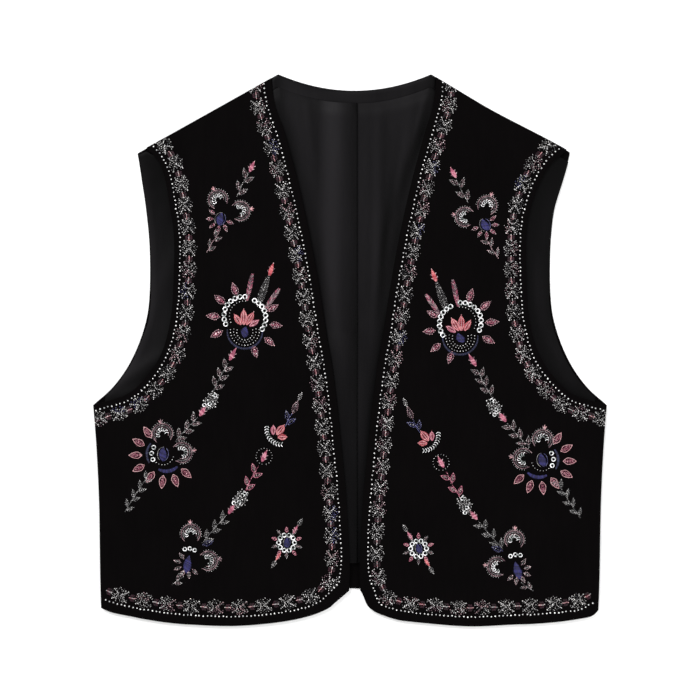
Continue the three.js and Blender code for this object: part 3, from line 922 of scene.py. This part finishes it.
        # a leaf with a heart of small beads
        self.leaf(base, tip, wide, rim, fill)
        run, _, side = lieOf(base, tip)
        for s in (-1, 1):
            bow = side * s * wide * 0.2
            self.grains(Line([base + run * 0.2, base + run * 0.42 + bow, base + run * 0.74]), fill, 0.5, 1.5)
            edge = side * s * wide * 0.54
            rim = Line([base, base + run * 0.32 + edge, base + run * 0.72 + edge * 0.7, tip])
            self.grains(rim, "blush", 0.4, 2.1)
        for k in range(4):
            spot = base + run * self.chance.uniform(0.25, 0.75) + side * wide * self.chance.uniform(-0.3, 0.3)
            self.grains(Line([spot, spot + run * 0.02]), "bright", 0.45, 9)

    def bud(self, base, tip, wide, family):
        # a satin bud with a pale heart and small pointed sepals
        run, way, side = lieOf(base, tip)
        self.satin(base, tip, wide * 0.82, family)
        self.rope(Line([base + run * 0.25, base + run * 0.8]), "blush", 0.9)
        for s in (-1, 1):
            for t, reach in ((0.25, 0.62), (0.55, 0.55)):
                spot = base + run * t + side * s * wide * 0.2
                self.stitch(spot, spot + side * s * wide * reach * 0.55 + way * wide * 0.3, 1.0, "rose")
        self.stitch(tip - way, tip + way * 1.4, 0.9, "blush")

    def fleur(self, base, tip):
        run = tip - base
        side = Vector((-run.y, run.x))
        for turn, long in ((-0.55, 0.8), (0, 1.1), (0.55, 0.8)):
            end = base + run * long + side * turn
            self.satin(base, end, 1.5, self.chance.choice(["blush", "blush", "rose"]), 0.8)

    def eye(self, base, tip, wide, family):
        # a satin oval with a broken pale ring
        run, _, side = lieOf(base, tip)
        middle = (base + tip) / 2
        self.satin(base, tip, wide, family)
        ring = [middle + run * 0.56 * math.cos(a) + side * wide * 0.56 * math.sin(a)
                for a in [math.radians(30 * k) for k in range(13)]]
        self.rope(Line(ring[:6]), "silver", 0.6, 1.4)
        self.rope(Line(ring[7:12]), "sky", 0.6, 1.4)

    def spear(self, base, tip, wide, family):
        run, way, side = lieOf(base, tip)
        count = round(run.length / 1.5)
        for k in range(count):
            t = k / count
            reach = wide * 0.5 * math.sin(math.pi * (0.12 + 0.84 * t)) ** 0.6
            spot = base + run * t
            for s in (-1, 1):
                self.stitch(spot, spot + way * reach * 1.1 + side * s * reach, 0.8,
                            self.chance.choice([family, "pink", "mauve"]))
        self.rope(Line([base, tip]), "rose", 0.6, 1.8)

    def scroll(self, centre, tip, size):
        # a shell of nested ropes with small beads between and outside them, and a small fleur at its head
        out = (tip - centre).normalized()
        angle = math.atan2(out.y, out.x)

        def arc(radius, sweep, steps=8):
            turns = [angle + math.radians(sweep) * (2 * k / steps - 1) for k in range(steps + 1)]
            return Line([centre + Vector((math.cos(a), math.sin(a))) * radius for a in turns])

        nested = ((1, 136, "rose", 0.8), (0.8, 126, "silver", 0.75), (0.6, 115, "rose", 0.65))
        for share, sweep, family, wide in nested:
            self.rope(arc(size * share, sweep), family, wide * 0.85, 1.7, 0.15)
        self.grains(arc(size * 0.9, 125), "mauve", 0.46, 1.7)
        self.grains(arc(size * 0.7, 90), "plum", 0.45, 1.4)
        edge = arc(size * 1.13, 105)
        count = round(edge.length / 2.3)
        for k in range(count + 1):
            self.bead(edge.along(k / count), 0.4)
        self.string(arc(size * 0.44, 100), 0.9)
        self.fleur(centre + out * size * 1.05, tip)

    def sprig(self, base, tip, wide, rim, fill):
        # a stem with leaves that open towards its tip, in uneven pairs
        run, way, side = lieOf(base, tip)
        self.grains(Line([base, base + run * 0.5 + side * wide * 0.06, tip]), rim, 0.5, 1.5)
        count = max(1, round(run.length / 11))
        long = wide * 0.55 + 3.4
        for k in range(count):
            for s in (-1, 1):
                foot = base + run * (k + 0.3 + 0.14 * s) / count
                lean = math.radians(self.chance.uniform(32, 44)) * s
                end = foot + (way * math.cos(lean) + side * math.sin(lean)) * long
                self.leaf(foot, end, long * 0.4, rim, fill)

    def cluster(self, base, tip, wide, family):
        # beads and a few sequins, uneven in size, over two small leaves
        run, _, side = lieOf(base, tip)
        middle = (base + tip) / 2
        for s in (-1, 1):
            self.leaf(base + side * s, middle + run * 0.4 + side * s * wide * 0.25, wide * 0.36, family, family)
        for k in range(2, 30):
            angle, reach = 2.4 * k, 0.5 * math.sqrt(k / 30)
            spot = middle + run * reach * math.cos(angle) + side * wide * reach * math.sin(angle)
            if k % 9 == 4:
                self.sequin(spot, 0.85)
            else:
                self.bead(spot, self.chance.choice([0.5, 0.65, 0.95]))

    def curl(self, line, wide, family):
        # a curved satin bar
        count = max(3, round(line.length / 0.9))
        for k in range(count):
            share = (k + 0.5) / count
            spot, run = line.along(share), line.heading(share)
            side = Vector((-run.y, run.x)) * wide / 2 * math.sin(math.pi * (0.1 + 0.8 * share)) ** 0.6
            self.stitch(spot - side, spot + side, 1.2, family, 0.9)


# ---- borders ----

border = {
    "inset": {-1: 7.5, 1: 6.8},   # of the bead row from the front edge
    "cornerInset": 3,             # further round the lower corner
    "armholeInset": 5.6,
    "hemInset": 9,
    "cornerAt": 0.66,
    "beadPitch": 4.2,
    "hemBeadPitch": 3.7,
    "centre": 8.4,
    "pitch": 20.3,
    "hemPitch": 22.4,
    # how uneven the beads lie, along and across
    "beadJog": 0.4,
    # a flower: its grains, how far apart, how much longer than wide, how many are missing or bright or stitches
    "grains": 56,
    "spacing": 0.96,
    "stretch": 1.22,
    "missing": 0.08,
    "tinted": 0.62,
    "stitched": 0.36,
}
# colours of a flower: its left, its right, its arms
palettes = [
    ("silver", "silver", "bright"), ("silver", "steel", "bright"), ("mauve", "silver", "bright"),
    ("silver", "sky", "bright"), ("rose", "silver", "silver"), ("silver", "mauve", "rose"),
    ("steel", "rose", "rose"), ("silver", "rose", "bright"), ("steel", "silver", "bright"),
]


def borderFlower(work, spot, run, palette):
    # crossed arms and two arcs over a round field of fine uneven grains and short stitches
    side = Vector((-run.y, run.x))

    def at(across, along):
        return spot + side * across + run * along

    for k in range(2, 2 + border["grains"]):
        angle, out = 2.4 * k, border["spacing"] * math.sqrt(k)
        across, along = out * math.sin(angle), out * math.cos(angle) * border["stretch"]
        atBud = along < -5.2 and abs(across) < 1.6
        if atBud or work.chance.random() < border["missing"]:
            continue
        here = at(across + work.chance.uniform(-0.3, 0.3), along + work.chance.uniform(-0.3, 0.3))
        family = palette[0] if across < 0 else palette[1]
        family = family if work.chance.random() < border["tinted"] else "bright"
        if work.chance.random() < border["stitched"]:
            lie = math.radians(work.chance.choice([-50, -35, 35, 50]))
            slant = (side * math.cos(lie) + run * math.sin(lie)) * 0.85
            work.stitch(here - slant, here + slant, 0.48, family)
        else:
            work.grains(Line([here, here + run * 0.2]), family, 0.44, 9)
    for s in (-1, 1):
        work.grains(Line([at(s * 0.8, -1.0), at(s * 4.9, -6.6)]), palette[2], 0.6, 1.7)
        work.grains(Line([at(s * 0.6, 2.6), at(s * 2.6, 3.6), at(s * 4.6, 7.0)]), "bright", 0.5, 1.7)
    work.bead(spot, 0.6)


def borderBud(work, spot, run, family):
    # a slender bright bud between dark petals
    side = Vector((-run.y, run.x))
    for s in (-1, 1):
        for k in range(3):
            base = spot + run * (1.3 * k - 0.6)
            work.stitch(base + side * s * 0.9, base + side * s * 3.4 - run * 1.4, 1.1, "garnet", 0.5)
        for k in range(3):
            base = spot + run * (1.8 * k - 1.2)
            end = base + side * s * (1.15 - 0.2 * k) - run * 1.5
            work.stitch(base + side * s * 0.2, end, 0.36, family, 0.9)
    for k in range(5):
        base = spot + run * (1.3 * k - 2.6) + side * work.chance.uniform(-0.35, 0.35)
        work.stitch(base - run * 0.6, base + run * 0.6, 0.95, work.chance.choice(["blush", "bright"]), 1.25)


def stations(path, pitchAt):
    # shares of a path at a spacing that changes along it, fitted to its ends
    samples = 400
    sums = [0]
    for k in range(samples):
        sums.append(sums[-1] + path.length / samples / pitchAt((k + 0.5) / samples))
    count = round(sums[-1])
    shares, k = [], 0
    for n in range(count + 1):
        goal = sums[-1] * n / count
        while k < samples - 1 and sums[k + 1] < goal:
            k += 1
        shares.append((k + (goal - sums[k]) / (sums[k + 1] - sums[k])) / samples)
    return shares


def workBorder(name, hand, node, path, insetAt, beadPitchAt, pitchAt):
    work = Needlework(name, hand, node)

    def inward(share, distance):
        run = path.heading(share)
        return path.along(share) + Vector((-run.y, run.x)) * distance * hand

    beadLine, middle = (Line([inward(share, insetAt(share) + further) for share in spread(0, 1, 44)])
                        for further in (0, border["centre"]))
    for share in stations(beadLine, beadPitchAt):
        jog = Vector([work.chance.uniform(-border["beadJog"], border["beadJog"]) for _ in range(2)])
        work.bead(beadLine.along(share) + jog, work.chance.uniform(0.85, 1.1))
    for k, share in enumerate(stations(middle, lambda share: pitchAt(share) / 2)):
        spot, run = middle.along(share), middle.heading(share)
        if k % 2 == 0:
            borderFlower(work, spot, run, work.chance.choice(palettes))
        else:
            borderBud(work, spot, run, work.chance.choice(["garnet", "rose", "wine"]))
    return work.finish()


def planPath(hand, stops):
    return Line([Vector((frontPlan(hand, u, v).x * hand, frontPlan(hand, u, v).y)) for u, v in stops])


def spread(low, high, count):
    return [lerp(low, high, k / count) for k in range(count + 1)]


def aroundCorner(straight, hem):
    # a value for the front edge, another for the hem
    corner = border["cornerAt"]
    return lambda share: lerp(straight, hem, smooth(share, corner - 0.06, corner + 0.04))


def edgeInset(hand):
    lower = aroundCorner(border["inset"][hand], border["hemInset"])

    def insetAt(share):
        fromCorner = (share - border["cornerAt"] - 0.014) / 0.024
        return lower(share) + border["cornerInset"] * math.exp(-fromCorner ** 2)
    return insetAt


for side, hand in (("Right", -1), ("Left", 1)):
    down = [(1, v) for v in spread(0.99, 0.02, 26)]
    along = [(u, 0) for u in spread(0.97, 0.008, 18)]
    workBorder("edgeBorder" + side, hand, "edge_border_" + side.lower(), planPath(hand, down + along),
               edgeInset(hand), aroundCorner(border["beadPitch"], border["hemBeadPitch"]),
               aroundCorner(border["pitch"], border["hemPitch"]))
    workBorder("armholeBorder" + side, hand, "armhole_border_" + side.lower(),
               planPath(hand, [(0, v) for v in spread(cut["bodyShare"] + 0.003, 0.998, 24)]),
               lambda share: border["armholeInset"], lambda share: border["hemBeadPitch"] * 1.05,
               lambda share: border["pitch"])


# ---- sprays: ordinary flowers, leaves and scrolls ----

sprays = {
    "upperSpray": {
        # kind, out, up, facing in degrees (0 outwards, 90 up), long, wide (0 for a scroll), threads
        "forms": [
            ("sprig", 104, 413, 117, 26, 12, "silver", "rose"),
            ("bud", 96, 429, 117, 10, 6, "pink"),
            ("scroll", 107, 388, 170, 18, 0),
            ("scroll", 127.5, 398.5, 68, 18, 0),
            ("eye", 125.5, 380.5, 110, 11, 8.6, "blue"),
            ("sprig", 132, 359, 122, 22, 8, "rose", "silver"),
        ],
        # kind, out, up, facing, reach, sweep, count, size, threads
        "rounds": [
            ("leaves", 125.5, 380.5, -60, 6.5, 200, 6, 6.5, "rose", "pink"),
        ],
    },
    "mainSpray": {
        "forms": [
            ("leaf", 85, 314, 110, 32, 6, "silver", "silver"),
            ("bud", 78, 333, 110, 12, 6, "coral"),
            ("spear", 98, 317, 102, 26, 5, "pink"),
            ("spear", 77, 306, 125, 24, 5, "rose"),
            ("satin", 102.5, 275, 110, 9, 9, "blue"),
            ("fan", 93.5, 283.5, 148, 11, 5, "pink"),
            ("fan", 97.5, 288, 120, 14, 6.5, "coral"),
            ("fan", 103.5, 289.5, 90, 15, 6.5, "coral"),
            ("fan", 109.5, 287, 58, 12, 5.5, "coral"),
            ("bud", 114, 254, 120, 12, 6.4, "pink"),
            ("sprig", 125, 233, 118, 28, 11, "silver", "rose"),
            ("cluster", 134, 211, 120, 19, 14, "silver"),
            ("bud", 142, 201, 125, 10, 6.6, "pink"),
            ("sprig", 157, 184, 133, 30, 11, "silver", "rose"),
            ("scroll", 161.5, 162.5, 170, 19, 0),
            ("scroll", 179.5, 180, 82, 19, 0),
            ("eye", 179, 161, 98, 12, 9, "blue"),
            ("sprig", 203, 125, 123, 42, 8, "silver", "silver"),
        ],
        "rounds": [
            ("sequins", 104, 290, 35, 18, 120, 9, 1.05),
            ("sequins", 101, 288, 165, 18, 100, 8, 1.05),
            ("petals", 103, 287, 22, 23, 100, 4, 12.5, "mauve", "pink"),
            ("petals", 102, 284, 202, 23, 100, 4, 11.5, "mauve", "pink"),
            ("band", 102.5, 276, -90, 16.5, 190, 11, 2.4, "navy"),
            ("beads", 102.5, 275, -90, 7.5, 210, 11, 0.62),
            ("beads", 102.5, 276, -90, 10.5, 200, 14, 0.5),
            ("beads", 102.5, 276, -90, 13.5, 190, 17, 0.62),
            ("beads", 103, 290, 35, 14, 120, 11, 0.6),
            ("leaves", 179, 160, 14, 19.5, 84, 4, 12.5, "blush", "pink"),
            ("leaves", 176, 160, -96, 19, 84, 4, 12.5, "blush", "pink"),
            ("band", 178, 161, 4, 16, 70, 5, 2.8, "navy"),
            ("band", 176, 160, -98, 15, 74, 6, 4, "blue"),
            ("sequins", 178, 161, 4, 11.5, 60, 3, 0.95),
            ("beads", 179, 161, -100, 10, 130, 9, 0.5),
        ],
    },
    "lowerSpray": {
        "forms": [
            ("leaf", 51, 215, 115, 8, 3, "bright", "silver"),
            ("leaf", 55.5, 205, 112, 12, 5, "rose", "mauve"),
            ("sprig", 61.5, 193, 117, 13, 11, "sky", "blue"),
            ("fan", 69, 184, 128, 12, 7, "coral"),
            ("fan", 76, 184, 92, 9, 5, "pink"),
            ("fan", 67, 177, 178, 9, 5.6, "coral"),
            ("bud", 84.5, 159, 116, 11, 6, "pink"),
            ("sprig", 96, 138, 118, 27, 11, "pink", "rose"),
            ("cluster", 106.5, 119.5, 120, 19, 14, "silver"),
            ("bud", 115, 109.5, 128, 10, 6, "pink"),
            ("sprig", 131, 91, 131, 34, 10, "silver", "silver"),
            ("leaf", 137, 78, 160, 10, 4.6, "sky", "blue"),
            ("scroll", 137, 61.5, 172, 18, 0),
            ("scroll", 153, 86.5, 88, 18, 0),
            ("satin", 156, 58, 103, 16, 8.6, "blue"),
            ("sprig", 165, 43, 145, 13, 7, "silver", "rose"),
        ],
        "rounds": [
            ("string", 68, 184, -45, 14, 100, 8, 1),
            ("beads", 84.5, 159, 90, 7.5, 330, 17, 0.45),
            ("sequins", 155, 62, 96, 11, 50, 3, 0.9),
            ("leaves", 156, 58, -40, 6.5, 190, 6, 6.5, "rose", "silver"),
        ],
    },
    "medallion": {
        "forms": [
            ("leaf", 51, 97.5, 122, 8, 3.4, "silver", "silver"),
            ("bud", 55.5, 90.5, 122, 8, 4.2, "pink"),
            ("eye", 63.5, 78.5, 100, 9, 5.6, "blue"),
            ("bud", 71.5, 65.5, -58, 8, 4, "coral"),
            ("leaf", 75.5, 58.5, -58, 8, 3.4, "silver", "silver"),
        ],
        "rounds": [
            ("sequins", 63.5, 78.5, 90, 7.4, 324, 10, 1),
            ("leaves", 63.5, 78.5, 90, 9.4, 288, 5, 5.2, "pink", "blush"),
            ("leaves", 63.5, 78.5, 126, 9.4, 288, 5, 5.2, "silver", "rose"),
        ],
    },
}


def workForm(work, kind, out, up, facing, long, wide, *threadNames):
    base, tip = work.polar((out, up), facing, -long / 2), work.polar((out, up), facing, long / 2)
    if kind == "scroll":
        work.scroll(work.polar((out, up), facing, 0), work.polar((out, up), facing, long * 0.72), long / 2)
    else:
        getattr(work, kind)(base, tip, wide, *threadNames)


def workRound(work, kind, out, up, facing, reach, sweep, count, size, *threadNames):
    # forms set evenly along an arc
    turns = [facing + sweep * (k / (count - 1) - 0.5) for k in range(count)]
    spots = [work.polar((out, up), turn, reach) for turn in turns]
    if kind in ("leaves", "petals"):
        form = work.leaf if kind == "leaves" else work.petal
        for turn, spot in zip(turns, spots):
            form(spot, work.polar((out, up), turn, reach + size), size * 0.46, *threadNames)
    elif kind == "band":
        work.curl(Line(spots), size, *threadNames)
    elif kind == "string":
        work.string(Line(spots), size)
    else:
        for spot in spots:
            (work.sequin if kind == "sequins" else work.bead)(spot, size)


for side, hand in (("Right", -1), ("Left", 1)):
    for name, rows in sprays.items():
        work = Needlework(name + side, hand, name.replace("Spray", "_spray") + "_" + side.lower())
        for row in rows["forms"]:
            workForm(work, *row)
        for row in rows["rounds"]:
            workRound(work, *row)
        work.finish()
print("embroidery worked")


# ---- floor, light and camera ----

studio = {
    "floorHalf": 3,
    "lens": 100,
    "sensor": 36,
    "frameWidth": 0.6537,      # what the view is wide, at the height of the cloth
    "clothHeight": 0.006,
    "paper": 0.93,
    "air": 0.75,
    # name, place, size, power
    "lights": [
        ("keyLight", (-0.9, 1.2, 1.9), 1.2, 42),
        ("fillLight", (1.4, 0.2, 1.6), 1.6, 16),
        ("lowLight", (0.2, -1.5, 1.2), 1.4, 10),
    ],
    "floorDrop": 0.0004,       # keeps the floor just under the cloth
}


def makeFloor():
    bm = bmesh.new()
    bmesh.ops.create_grid(bm, x_segments=1, y_segments=1, size=studio["floorHalf"])
    bmesh.ops.translate(bm, verts=bm.verts, vec=(0, 0, -studio["floorDrop"]))
    mesh = bpy.data.meshes.new("floor")
    bm.to_mesh(mesh)
    bm.free()
    paper = Finish("palePaper", Roughness=0.9, Specular_IOR_Level=0.1)
    paper.shader.inputs["Base Color"].default_value = (*[studio["paper"]] * 3, 1)
    mesh.materials.append(paper.material)
    floor = bpy.data.objects.new("floor", mesh)
    bpy.context.collection.objects.link(floor)


def makeLight(name, place, size, power):
    lamp = bpy.data.lights.new(name, "AREA")
    lamp.shape = "DISK"
    lamp.size = size
    lamp.energy = power
    light = bpy.data.objects.new(name, lamp)
    light.location = place
    light.rotation_euler = (-Vector(place)).to_track_quat("-Z", "Y").to_euler()
    bpy.context.collection.objects.link(light)


makeFloor()
for light in studio["lights"]:
    makeLight(*light)

world = bpy.data.worlds.new("studioAir")
world.use_nodes = True
air = world.node_tree.nodes["Background"].inputs
air["Color"].default_value = (1, 1, 1, 1)
air["Strength"].default_value = studio["air"]
bpy.context.scene.world = world

lens = bpy.data.cameras.new("overhead")
lens.lens = studio["lens"]
lens.sensor_width = studio["sensor"]
camera = bpy.data.objects.new("overhead", lens)
camera.location = (0, 0, studio["clothHeight"] + studio["frameWidth"] * studio["lens"] / studio["sensor"])
bpy.context.collection.objects.link(camera)
bpy.context.scene.camera = camera
bpy.context.scene.view_settings.view_transform = "Standard"
print("studio set")
